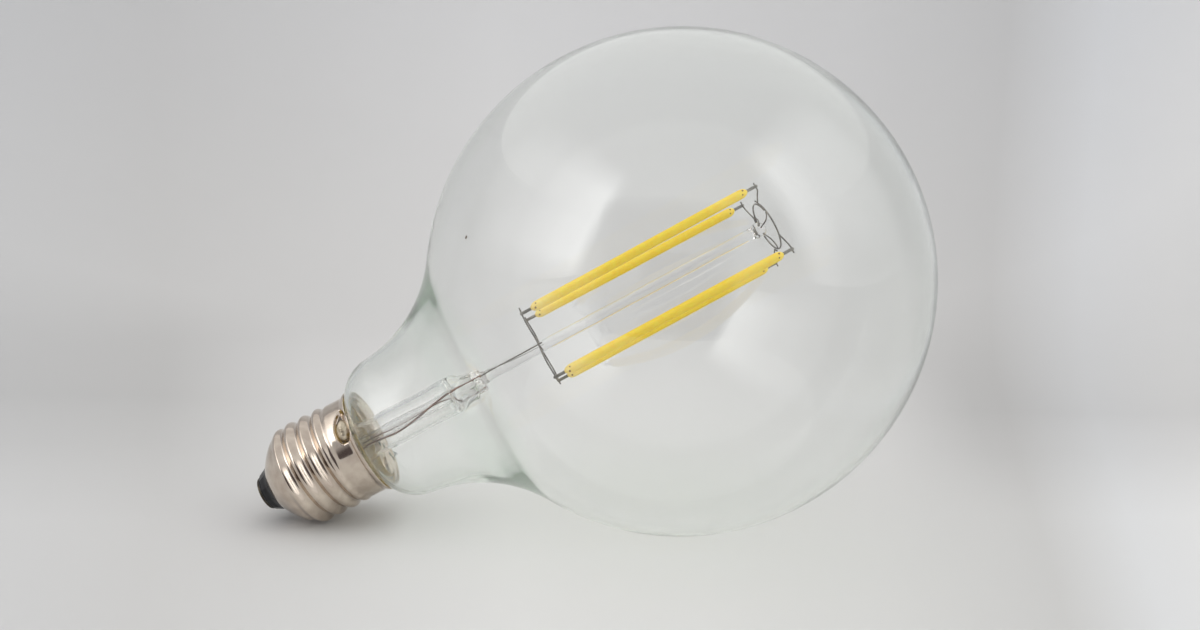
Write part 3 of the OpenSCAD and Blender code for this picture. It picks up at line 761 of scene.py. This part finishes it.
def stem_tube():
    """The flare tube and its press, drawn up the outside, over the press and down the inside."""
    bend_c = FLARE_R + FLARE_BEND_R
    reach = NECK_IN_R + 0.15
    last = 180 + math.degrees(math.acos((bend_c - reach) / FLARE_BEND_R))
    outer = arc((bend_c, FLARE_Z), FLARE_BEND_R, last, 180, 18)
    outer += [(FLARE_R, mix(FLARE_Z, PRESS_Z, i / 60)) for i in range(1, 61)]
    outer += [(FLARE_R * 0.6, PRESS_Z + 0.15), (0, PRESS_Z + 0.2)]
    in_bend = FLARE_BEND_R + FLARE_WALL
    last_in = 180 + math.degrees(math.acos((bend_c - reach) / in_bend))
    bore_r = FLARE_R - FLARE_WALL
    bore_top = PRESS_FOOT_Z - 1.6
    inner = [(0, bore_top), (bore_r * 0.45, bore_top - 0.1), (bore_r * 0.8, bore_top - 0.5)]
    inner += [(bore_r, mix(bore_top - 1.3, FLARE_Z, i / 24)) for i in range(25)]
    inner += arc((bend_c, FLARE_Z), in_bend, 180, last_in, 18)[1:]
    outline = [(r, z, True) for r, z in outer] + [(r, z, False) for r, z in inner]
    columns = 112
    verts = []
    for r, z, outside in outline:
        for j in range(columns):
            turn = TAU * j / columns
            a = turn - math.radians(PRESS_TURN)
            r2, z2 = r, z
            if outside and r > 0:
                squeeze = step_between(PRESS_FOOT_Z - 1.8, PRESS_FOOT_Z + 1.2, z)
                power = mix(2.0, 4.5, squeeze)
                half = mix(FLARE_R, PRESS_T / 2, squeeze)
                wide = abs(math.cos(a) / (FLARE_R - 0.1 * squeeze)) ** power
                thick = abs(math.sin(a) / half) ** power
                share = r / FLARE_R
                r2 = share * (wide + thick) ** (-1 / power) if z > FLARE_Z else r
                at = (r2 * math.cos(turn), r2 * math.sin(turn), z)
                crease = abs(wobble(at, 1.5, 21)) - 0.25 + 0.5 * wobble(at, 0.8, 22)
                r2 += squeeze * (0.42 * crease + 0.14 * wobble(at, 0.5, 25))
                z2 += 0.5 * squeeze * wobble(at, 1.8, 23) * step_between(PRESS_Z - 2, PRESS_Z, z)
            if r > 0:
                r2 += 0.04 * wobble((4 * math.cos(turn), 4 * math.sin(turn), z), 6, 24)
            verts.append((r2 * math.cos(turn), r2 * math.sin(turn), z2))
    tube = (verts, grid_faces(len(outline), columns, wrap_rows=True))
    piece(
        "stem_tube", joined(tube, *slivers()), LEANING, STEM_GLASS, "stem_glass", "stem_flare",
        second=SLIVER, second_from=len(tube[1]),
    )


def slivers():
    """Hair-thin splinters of glass that lie in the neck round the foot of the stem."""
    made = []
    for i, (turn, r, z) in enumerate(SLIVER_PLACES):
        middle = polar(r, turn, z)
        way = Vector(wobble((i * 3.1, 0.4, k * 2.7), 1.3, 70 + k) for k in range(3)).normalized()
        way = (way - middle.normalized() * way.dot(middle.normalized())).normalized()
        bend = way.cross(middle).normalized() * 0.25
        half = 0.55 + 0.5 * abs(wobble((i, 1, 2), 0.7, 74))
        line = smooth_line([middle - way * half, middle + bend, middle + way * half], 4)
        made.append(wire(line, SLIVER_R, sides=5))
    return made


def exhaust():
    """The tube through which the globe was filled, sealed with a round tip inside the cap."""
    tip, top = NECK_END_Z + 1.5, PRESS_FOOT_Z - 1.7
    outline = [(EXHAUST_BORE_R, top), (1.35, top + 0.05), (EXHAUST_R, top - 0.3)]
    outline += [(EXHAUST_R, mix(top - 0.5, tip, i / 16)) for i in range(17)]
    outline += [
        (EXHAUST_R * math.cos(t), tip - EXHAUST_R * math.sin(t))
        for t in (math.radians(a) for a in range(15, 91, 15))
    ]
    outline += [(0, tip + 0.4), (0.6, tip + 0.7)]
    outline += [(EXHAUST_BORE_R, mix(tip + 1.4, top, i / 12)) for i in range(12)]
    piece("exhaust_glass", lathe(outline, 48), LEANING, STEM_GLASS, "stem_glass", "exhaust_tube")


def column():
    """The solid glass rod: slightly uneven, waisted under its melted bead."""
    outline = [(0, PRESS_Z - 0.25), (COLUMN_R + 0.5, PRESS_Z - 0.2)]
    outline += [(COLUMN_R + 0.15, PRESS_Z + 0.6)]
    steps = 70
    bead_foot = BEAD_Z - BEAD_R * 0.85
    for i in range(1, steps + 1):
        z = mix(PRESS_Z + 0.6, bead_foot, i / steps)
        outline.append((COLUMN_R * (1 + 0.035 * math.sin(z * 0.37) * math.sin(z * 0.11)), z))
    outline += arc((0, BEAD_Z), BEAD_R, -38, 90, 20)

    def uneven(r, z, turn):
        return r * (1 + 0.02 * wobble((3 * math.cos(turn), 3 * math.sin(turn), z), 7, 31)), z

    piece(
        "column_glass", lathe(outline, 56, uneven), LEANING, STEM_GLASS, "stem_glass",
        "glass_column",
    )


# ---- leads and wires ----


def lead_foot(side):
    """Where a lead stands in the press: side 1 is near and -1 is far."""
    return polar(side * LEAD_OFFSET, PRESS_TURN, 0)


def outer_leads():
    """The copper leads from the board up the flare tube, and the red seal wires in the press."""
    board_top = NECK_END_Z - 2.5
    for side, name in ((1, "near"), (-1, "far")):
        foot = lead_foot(side)
        line = smooth_line([
            (-2, side * 5.5, board_top + 0.1),
            (-2, side * 5.4, board_top + 1.0),
            (-1.6, side * 4, NECK_END_Z + 3),
            polar(LEAD_OFFSET, side * 100, NECK_END_Z + 10),
            polar(LEAD_OFFSET * 0.9, side * 122, PRESS_FOOT_Z - 17),
            polar(LEAD_OFFSET * 0.9, 75 if side > 0 else -100, PRESS_FOOT_Z - 7),
            (foot.x, foot.y, PRESS_FOOT_Z - 3.2),
            (foot.x, foot.y, PRESS_FOOT_Z - 2.0),
        ], 10)
        piece(
            f"copper_lead_{name}", wire(line, WIRE_R, rough=0.02), LEANING,
            LEAD_COPPER, "copper_wire", f"outer_lead_{name}",
        )
        heights = [mix(PRESS_FOOT_Z - 1.9, PRESS_Z, i / 4) for i in range(5)]
        red = smooth_line([(foot.x, foot.y, z) for z in heights], 3)
        piece(
            f"sealing_wire_{name}", wire(red, WIRE_R * 0.95, rough=0.02), LEANING,
            SEAL_RED, "seal_wire", f"press_wire_{name}",
        )


def inner_leads():
    """The leads from the press to the two crossbars, which hold the lower ends of the cage."""
    back = turned(CAGE_TURN, "Z")
    for side, name in ((1, "near"), (-1, "far")):
        foot = lead_foot(side)
        top = back @ Vector((0, side * (CAGE_HALF - 2 * WIRE_R), 0))
        middle = (foot + top) / 2
        line = smooth_line([
            (foot.x, foot.y, PRESS_Z - 0.1),
            (foot.x, foot.y, PRESS_Z + 1.2),
            (middle.x, middle.y, (PRESS_Z + TIE_LOW_Z) / 2 + 0.2),
            (top.x * 0.98, top.y * 0.98, TIE_LOW_Z - 1.2),
            (top.x, top.y, TIE_LOW_Z),
            (top.x, top.y, TIE_LOW_Z + STUB),
        ], 8)
        piece(
            f"nickel_lead_{name}", wire(line, DRAWN_R, rough=0.02), LEANING,
            WIRE_NICKEL, "nickel_wire", f"inner_lead_{name}",
        )
        bar = [
            Vector((x, side * CAGE_HALF, TIE_LOW_Z + 0.12 * math.sin(x * 0.6 + side)))
            for x in (mix(-CAGE_HALF - STUB, CAGE_HALF + STUB, i / 24) for i in range(25))
        ]
        piece(
            f"crossbar_wire_{name}", wire(bar, DRAWN_R, rough=0.03), CAGED,
            WIRE_NICKEL, "nickel_wire", f"crossbar_{name}",
        )


def tie(i):
    """The corner of the cage at which this filament stands."""
    return Vector((CAGE_HALF * (1 if i in (0, 3) else -1), CAGE_HALF * (1 if i < 2 else -1), 0))


def support_ring():
    """A ring bent from one wire, its ends lapped, with an arm to each filament."""
    turns = []
    for a in range(0, 391, 6):
        half = math.radians(a) / 2
        turns.append(polar(
            RING_R + 0.22 * math.cos(half), a + 12, TIE_HIGH_Z + 0.16 * math.sin(half)
        ))
    piece(
        "lapped_ring", wire(turns, DRAWN_R * 1.1, rough=0.02), LEANING,
        WIRE_NICKEL, "nickel_wire", "support_ring",
    )
    for i in range(4):
        t = tie(i)
        start = polar(RING_R + 2 * WIRE_R, 45 + 90 * i - ARM_SHIFT, 0)
        bend = Vector((t.x - math.copysign(1, t.x), t.y, 0))
        out = Vector((math.copysign(STUB, t.x), 0, 0))
        height = Vector((0, 0, TIE_HIGH_Z))
        along = polar(1.6, 45 + 90 * i - ARM_SHIFT - 90, 0)
        line = smooth_line([
            start + along + height, start + along * 0.4 + height, start * 1.03 + height,
            (start + bend) * 0.52 + height, bend + height, t + height, t + out + height,
        ], 6)
        piece(
            f"ring_arm_wire_{i + 1}", wire(line, DRAWN_R, rough=0.03), CAGED,
            WIRE_NICKEL, "nickel_wire", f"ring_arm_{i + 1}",
        )
    spokes = []
    for a in (49, 169, 289):
        line = smooth_line([
            polar(RING_R - WIRE_R, a, TIE_HIGH_Z),
            polar(RING_R * 0.8, a + 2, TIE_HIGH_Z + 0.05),
            polar(RING_R * 0.5, a + 7, TIE_HIGH_Z - 0.4),
            polar(BEAD_R * 0.4, a + 12, BEAD_Z + 0.6),
        ], 6)
        spokes.append(wire(line, DRAWN_R * 0.9, rough=0.02))
    piece("ring_spokes", joined(*spokes), LEANING, WIRE_NICKEL, "nickel_wire", "ring_anchors")


# ---- filaments ----


def filament_frame(i):
    """The frame of a filament: it lies on the outside of the wires at its corner of the cage."""
    t = tie(i)
    return CAGED @ Matrix.Translation((t.x, t.y + math.copysign(WIRE_R + TAB_T / 2, t.y), 0))


def welded_off(i, z):
    """A filament's sideways shift at this height: none at the ring, all of it at the crossbar."""
    inwards = -math.copysign(1, tie(i).x)
    return inwards * WELDED_OFF[i] * (TIE_HIGH_Z - z) / (TIE_HIGH_Z - TIE_LOW_Z)


def filament_coat(i):
    """A moulded coat with rounded ends, faint ripples, and two bare spots near each end."""
    steps = 96
    outline = [(0, BODY_LOW_Z)]
    outline += [
        (FILAMENT_R * math.sin(t), BODY_LOW_Z + FILAMENT_END * (1 - math.cos(t)))
        for t in (math.radians(a) for a in range(12, 91, 13))
    ]
    outline += [
        (FILAMENT_R, mix(BODY_LOW_Z + FILAMENT_END, BODY_HIGH_Z - FILAMENT_END, k / steps))
        for k in range(1, steps)
    ]
    outline += [
        (FILAMENT_R * math.sin(t), BODY_HIGH_Z - FILAMENT_END * (1 - math.cos(t)))
        for t in (math.radians(a) for a in range(90, 0, -13))
    ]
    outline += [(0, BODY_HIGH_Z)]

    def rippled(r, z, turn):
        at = (2 * math.cos(turn), 2 * math.sin(turn), z)
        return r * (1 + 0.02 * wobble(at, 2.6, 40 + i) + 0.01 * wobble(at, 0.9, 50 + i)), z

    coat = lathe(outline, 36, rippled)
    coat = ([(x + welded_off(i, z), y, z) for x, y, z in coat[0]], coat[1])
    spots = []
    facing = [-115.0, -65.0, 65.0, 115.0]
    for z in (BODY_LOW_Z + 1.5, BODY_HIGH_Z - 1.5):
        for k, turn in enumerate(facing):
            at = polar(FILAMENT_R * 0.93, turn, z + 0.25 * (-1) ** k)
            at.x += welded_off(i, z)
            onto = standing(at, polar(1, turn, 0), "Y")
            dot = lathe([(0.0, 0.11), (0.16, 0.09), (0.27, 0.0), (0.0, -0.1)], 12)
            spots.append(([onto @ Vector(v) for v in dot[0]], dot[1]))
    piece(
        f"phosphor_coat_{i + 1}", joined(coat, *spots), filament_frame(i), PHOSPHOR, "phosphor",
        f"filament_coat_{i + 1}", second=PHOSPHOR_SPOT, second_from=len(coat[1]),
    )


def tab(i, low, high, name, stands_for):
    """A stamped tab: rounded corners, a dimple where it is welded, and a slight twist."""
    columns, rows = 10, 30
    verts = []
    for k in range(rows + 1):
        share = k / rows
        z = mix(low, high, share)
        end = min(share, 1 - share) * (high - low)
        half = TAB_W / 2 * min(1, math.sqrt(max(end, 0.0) / 0.25)) if end < 0.25 else TAB_W / 2
        half = max(half, 0.05)
        for j in range(columns):
            t = TAU * j / columns
            x = half * math.copysign(abs(math.cos(t)) ** 0.4, math.cos(t))
            y = TAB_T / 2 * math.copysign(abs(math.sin(t)) ** 0.6, math.sin(t))
            y += 0.05 * wobble((x * 2, 0, z), 0.8, 60 + i)
            verts.append((x + welded_off(i, z), y, z))
    faces = grid_faces(rows + 1, columns)
    faces += [tuple(range(columns)), tuple(range(rows * columns, (rows + 1) * columns))]
    piece(name, (verts, faces), filament_frame(i), TAB_STEEL, "tab_steel", stands_for)


def filaments():
    lower = (TIE_LOW_Z - STUB / 2, BODY_LOW_Z + TAB_IN)
    upper = (BODY_HIGH_Z - TAB_IN, TIE_HIGH_Z + STUB / 2)
    for i in range(4):
        filament_coat(i)
        tab(i, *lower, f"weld_tab_low_{i + 1}", f"lower_tab_{i + 1}")
        tab(i, *upper, f"weld_tab_high_{i + 1}", f"upper_tab_{i + 1}")


# ---- nodes that keep their own shape ----

KEPT = {
    "side_lead": LEAD_COPPER, "driver_board": BOARD, "smoothing_capacitor": SLEEVE,
    "bridge_rectifier": EPOXY, "driver_chip": EPOXY, "fusible_resistor": LACQUER,
    **{f"filament_strip_{i}": CERAMIC for i in range(1, 5)},
}


def finish_kept_nodes():
    for name, material in KEPT.items():
        mesh = frame["nodes"][name].data
        mesh.materials.clear()
        mesh.materials.append(material)


# ---- studio ----

# Sizes of the stage are in metres, in the part's frame.
FLOOR_R, SWEEP_R, WALL_H = 0.30, 0.40, 0.5
# The backdrop's painted shade fans out from a point near the camera, so that it lines up in its
# picture.
FAN_LEFT, FAN_FRONT = 0.02, 0.25
WORLD_LIGHT = 0.8
FLOOR_COLOUR, WALL_COLOUR = (0.75, 0.741, 0.731), (0.75, 0.748, 0.753)
# Painted shade on the backdrop from left to right, and painted shade on the floor from front to
# back.
PAINTED_SHADE_ACROSS = [
    (0.2, (0.81, 0.82, 0.835)), (0.325, grey(0.80)), (0.4, grey(0.86)), (0.5, grey(0.955)),
    (0.6, grey(0.93)), (0.7, grey(0.873)), (0.8, grey(0.777)), (0.86, (0.93, 0.945, 0.965)),
    (0.92, (0.98, 0.985, 0.99)),
]
PAINTED_FLOOR_SHADE = [
    (0.0, grey(1.0)), (0.15, grey(0.88)), (0.3, grey(0.82)), (0.6, grey(0.9)), (0.85, grey(1.0)),
]


def on_stage(obj):
    """Puts a stage piece in the scene."""
    bpy.context.scene.collection.objects.link(obj)


def backdrop():
    """A pale floor that sweeps up into a wall all round, with painted shade at its sides."""
    material, tree = new_material("backdrop")
    place = node(tree, "ShaderNodeTexCoord").outputs["Object"]
    axes = node(tree, "ShaderNodeSeparateXYZ", {"Vector": place}).outputs
    up = node(tree, "ShaderNodeMapRange", {"Value": axes["Z"], "From Max": 0.25}).outputs[0]
    mottle = ramp(tree, noise_value(tree, place, 6.0), [(0.3, grey(0.985)), (0.7, grey(1.0))])
    back = calculated(tree, "MAXIMUM", calculated(tree, "ADD", axes["Y"], FAN_FRONT), 0.1)
    aside = calculated(tree, "DIVIDE", calculated(tree, "ADD", axes["X"], FAN_LEFT), back)
    aside = calculated(tree, "MULTIPLY_ADD", aside, 0.5, 0.5)
    # Painted shade: the sides, where the floor also gets a darker band from front to back.
    shaded_sides = ramp(tree, aside, [
        (0.33, grey(1.0)), (0.4, grey(0.0)), (0.72, grey(0.0)), (0.78, grey(1.0)),
    ])
    behind = node(tree, "ShaderNodeMapRange", {"Value": axes["Y"], "From Max": 0.4}).outputs[0]
    # Painted shade, darker at the sides of the backdrop and in a band across the floor.
    floor_shade = mix_colour(tree, shaded_sides, grey(1.0), ramp(tree, behind, PAINTED_FLOOR_SHADE))
    backdrop_shade = times(tree, ramp(tree, aside, PAINTED_SHADE_ACROSS), floor_shade)
    colour = mix_colour(tree, up, FLOOR_COLOUR, WALL_COLOUR)
    surface(tree, {
        "Base Color": times(tree, times(tree, colour, mottle), backdrop_shade),
        "Roughness": 0.9, "Specular IOR Level": 0.1,
    })
    outline = [(0.0, 0.0), (0.1, 0.0), (0.2, 0.0)]
    outline += [(r, z + SWEEP_R) for r, z in arc((FLOOR_R, 0), SWEEP_R, -90, 0, 24)]
    outline += [(FLOOR_R + SWEEP_R, WALL_H)]
    columns = 128
    verts = [
        (r * math.cos(TAU * j / columns), r * math.sin(TAU * j / columns), z)
        for r, z in outline for j in range(columns)
    ]
    mesh = bpy.data.meshes.new("backdrop")
    mesh.from_pydata(verts, [], grid_faces(len(outline), columns))
    mesh.materials.append(material)
    mesh.shade_smooth()
    on_stage(bpy.data.objects.new("backdrop", mesh))


def aimed(location):
    """The rotation of a lamp or card that faces the globe's centre."""
    return (GLOBE_CENTRE - location).to_track_quat("-Z", "Y").to_euler()


def away(turn, rise, distance):
    """A place at this distance from the globe's centre. turn is from the front, to the right."""
    a, b = math.radians(turn), math.radians(rise)
    way = Vector((math.sin(a) * math.cos(b), -math.cos(a) * math.cos(b), math.sin(b)))
    return GLOBE_CENTRE + way * distance


def lamp(name, location, size, radiance):
    """A soft lamp that lights the scene and shows in nothing: its card shows instead."""
    light = bpy.data.lights.new(name, "AREA")
    light.shape = "RECTANGLE"
    light.size, light.size_y = size
    light.energy = radiance * math.pi * size[0] * size[1]
    made = bpy.data.objects.new(name, light)
    made.location = location
    made.rotation_euler = aimed(location)
    made.visible_camera = made.visible_transmission = made.visible_glossy = False
    bpy.context.scene.collection.objects.link(made)


def card(name, location, size, colour, across, upright):
    """A panel that only shows in gloss and through glass. It fades by across and upright."""
    material, tree = new_material(name)
    place = node(tree, "ShaderNodeTexCoord").outputs["Generated"]
    axes = node(tree, "ShaderNodeSeparateXYZ", {"Vector": place}).outputs
    masks = [
        ramp(tree, axes[axis], [(at, grey(value)) for at, value in stops])
        for axis, stops in (("X", across), ("Y", upright))
    ]
    glow = node(tree, "ShaderNodeEmission", {"Color": (*colour[:3], 1), "Strength": colour[3]})
    clear = node(tree, "ShaderNodeBsdfTransparent")
    both = node(tree, "ShaderNodeMixShader", {
        0: calculated(tree, "MULTIPLY", *masks), 1: clear.outputs[0], 2: glow.outputs[0],
    })
    node(tree, "ShaderNodeOutputMaterial", {"Surface": both.outputs[0]})
    steps = 6
    verts = [
        ((i / steps - 0.5) * size[0], (j / steps - 0.5) * size[1], 0)
        for j in range(steps + 1) for i in range(steps + 1)
    ]
    faces = [
        (k, k + 1, k + steps + 2, k + steps + 1)
        for j in range(steps) for k in range(j * (steps + 1), j * (steps + 1) + steps)
    ]
    mesh = bpy.data.meshes.new(name)
    mesh.from_pydata(verts, [], faces)
    mesh.materials.append(material)
    made = bpy.data.objects.new(name, mesh)
    made.location = location
    made.rotation_euler = aimed(location)
    made.visible_camera = made.visible_diffuse = False
    made.visible_shadow = made.visible_volume_scatter = False
    on_stage(made)


def studio():
    """A lamp from the left, one from the right and one from above, in a pale surrounding."""
    backdrop()
    lamp("softbox_left", away(-80, 28, 0.55), (0.5, 0.45), 1.0)
    lamp("softbox_right", away(66, 25, 0.55), (0.5, 0.5), 1.0)
    lamp("softbox_top", away(0, 88, 0.8), (0.9, 0.9), 0.5)
    soft = [(0.0, 0.0), (0.25, 1.0), (0.75, 1.0), (1.0, 0.0)]
    card(
        "card_left", away(-80, 27, 0.5), (0.62, 0.50), (1, 1, 1, 3.3),
        [(0.0, 0.0), (0.50, 0.35), (0.90, 1.0), (1.0, 0.0)], soft,
    )
    card(
        "card_right", away(66, 29, 0.5), (0.56, 0.70), (1, 1, 1, 2.8),
        [(0.0, 0.0), (0.15, 1.0), (0.45, 0.5), (1.0, 0.0)],
        [(0.0, 0.0), (0.5, 0.8), (0.8, 1.0), (1.0, 0.0)],
    )
    edge = [(0.0, 0.0), (0.12, 1.0), (0.88, 1.0), (1.0, 0.0)]
    card("card_front", away(-17, 8, 0.24), (0.24, 0.27), (0.9, 0.78, 0.82, 0.12), edge, edge)
    world = bpy.data.worlds.new("studio")
    world.use_nodes = True
    back = world.node_tree.nodes["Background"]
    back.inputs["Color"].default_value = (1, 1, 1, 1)
    back.inputs["Strength"].default_value = WORLD_LIGHT
    bpy.context.scene.world = world


CAMERA_OFFSET = Vector((-49.8, -205.4, 20.6)) * MM
CAMERA_YAW, CAMERA_PITCH, CAMERA_ROLL = 8.57, -8.0, 3.2
LENS, SENSOR_W = 24.75, 36
# Light crosses many walls of glass on its way to the camera.
BOUNCES = 32


def camera():
    """The camera stands close in front of the lamp and looks slightly down."""
    data = bpy.data.cameras.new("camera")
    data.lens, data.sensor_width = LENS, SENSOR_W
    data.clip_start = 0.01
    made = bpy.data.objects.new("camera", data)
    yaw, pitch, roll = (math.radians(a) for a in (CAMERA_YAW, CAMERA_PITCH, CAMERA_ROLL))
    ahead = math.cos(pitch)
    forward = Vector((math.sin(yaw) * ahead, math.cos(yaw) * ahead, math.sin(pitch)))
    level = forward.cross(Vector((0, 0, 1))).normalized()
    right = level * math.cos(roll) + level.cross(forward) * math.sin(roll)
    up = right.cross(forward)
    turn = Matrix((right, up, -forward)).transposed().to_4x4()
    made.matrix_world = Matrix.Translation(GLOBE_CENTRE + CAMERA_OFFSET) @ turn
    scene = bpy.context.scene
    scene.collection.objects.link(made)
    scene.camera = made
    scene.view_settings.view_transform = "Standard"
    scene.cycles.max_bounces = scene.cycles.transparent_max_bounces = BOUNCES
    scene.cycles.glossy_bounces = scene.cycles.transmission_bounces = BOUNCES


camera()
glass_globe()
screw_shell()
insulator()
centre_contact()
side_solder()
cement_ring()
stem_tube()
exhaust()
column()
outer_leads()
inner_leads()
support_ring()
filaments()
finish_kept_nodes()
studio()
